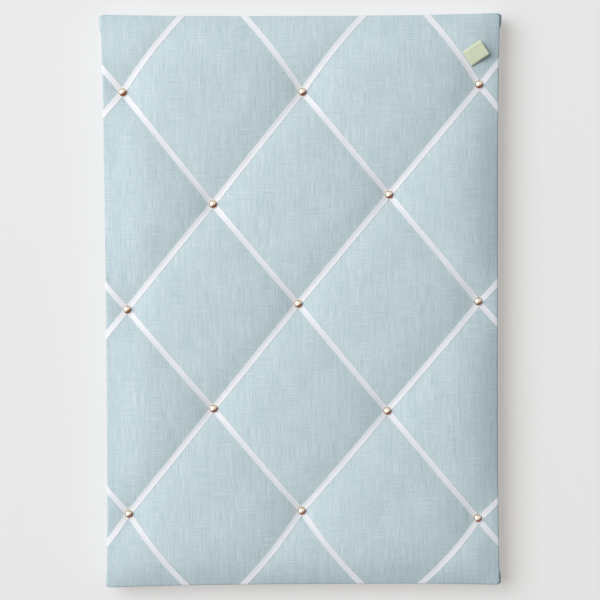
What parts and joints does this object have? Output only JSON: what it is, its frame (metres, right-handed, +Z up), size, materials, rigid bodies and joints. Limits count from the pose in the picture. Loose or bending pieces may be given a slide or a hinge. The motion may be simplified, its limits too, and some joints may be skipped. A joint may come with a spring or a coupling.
{
  "type": "french memo board",
  "caption": "Padded linen-covered memo board crossed by a diamond lattice of satin ribbons under domed brass nails, with a card back, ring hangers and a small bare cloth tag.",
  "frame": {"origin": "centre of the rear face of the backing, on the wall", "axes": "+Z up the board, +Y out of its back into the wall, +X to the right as seen from the front"},
  "size_m": [0.4198, 0.0355, 0.6],
  "materials": {
    "fibreboard": "raw softboard",
    "wadding": "matte fibre",
    "linen": "matte slubbed weave",
    "satin": "satin",
    "brass": "polished, antiqued",
    "steel": "zinc plated",
    "backing": "kraft-faced card",
    "cotton": "matte tape"
  },
  "bodies": {
    "board": {"core_board": "fibreboard", "wadding": "wadding", "linen_cover": "linen", "backing": "backing", "ribbon_rising_1": "satin", "ribbon_rising_2": "satin", "ribbon_rising_3": "satin", "ribbon_rising_4": "satin", "ribbon_rising_5": "satin", "ribbon_falling_1": "satin", "ribbon_falling_2": "satin", "ribbon_falling_3": "satin", "ribbon_falling_4": "satin", "ribbon_falling_5": "satin", "ribbon_rising_1_staple_1": "steel", "ribbon_rising_1_staple_2": "steel", "ribbon_rising_2_staple_1": "steel", "ribbon_rising_2_staple_2": "steel", "ribbon_rising_3_staple_1": "steel", "ribbon_rising_3_staple_2": "steel", "ribbon_rising_4_staple_1": "steel", "ribbon_rising_4_staple_2": "steel", "ribbon_rising_5_staple_1": "steel", "ribbon_rising_5_staple_2": "steel", "ribbon_falling_1_staple_1": "steel", "ribbon_falling_1_staple_2": "steel", "ribbon_falling_2_staple_1": "steel", "ribbon_falling_2_staple_2": "steel", "ribbon_falling_3_staple_1": "steel", "ribbon_falling_3_staple_2": "steel", "ribbon_falling_4_staple_1": "steel", "ribbon_falling_4_staple_2": "steel", "ribbon_falling_5_staple_1": "steel", "ribbon_falling_5_staple_2": "steel", "stud_1_1": "brass", "stud_1_2": "brass", "stud_1_3": "brass", "stud_2_1": "brass", "stud_2_2": "brass", "stud_3_1": "brass", "stud_3_2": "brass", "stud_3_3": "brass", "stud_4_1": "brass", "stud_4_2": "brass", "stud_5_1": "brass", "stud_5_2": "brass", "stud_5_3": "brass", "hanger_strap_left": "steel", "hanger_screw_left": "steel", "hanger_strap_right": "steel", "hanger_screw_right": "steel"},
    "ring_left": {"hanger_ring_left": "steel"},
    "ring_right": {"hanger_ring_right": "steel"},
    "tag": {"label_tag": "cotton"}
  },
  "joints": [
    {"name": "ring_left_swing", "type": "hinge", "parent": "board", "child": "ring_left", "pos_m": [-0.15, 0.0026, 0.205], "axis": [1, 0, 0], "range_deg": [0, 178]},
    {"name": "ring_right_swing", "type": "hinge", "parent": "board", "child": "ring_right", "pos_m": [0.15, 0.0026, 0.205], "axis": [1, 0, 0], "range_deg": [0, 178]},
    {"name": "tag_lift", "type": "hinge", "parent": "board", "child": "tag", "pos_m": [0.17185, -0.02483, 0.25282], "axis": [0.5751, 0.1089, -0.8108], "range_deg": [-2, 110], "stiffness_Nm_per_rad": 0.001}
  ]
}
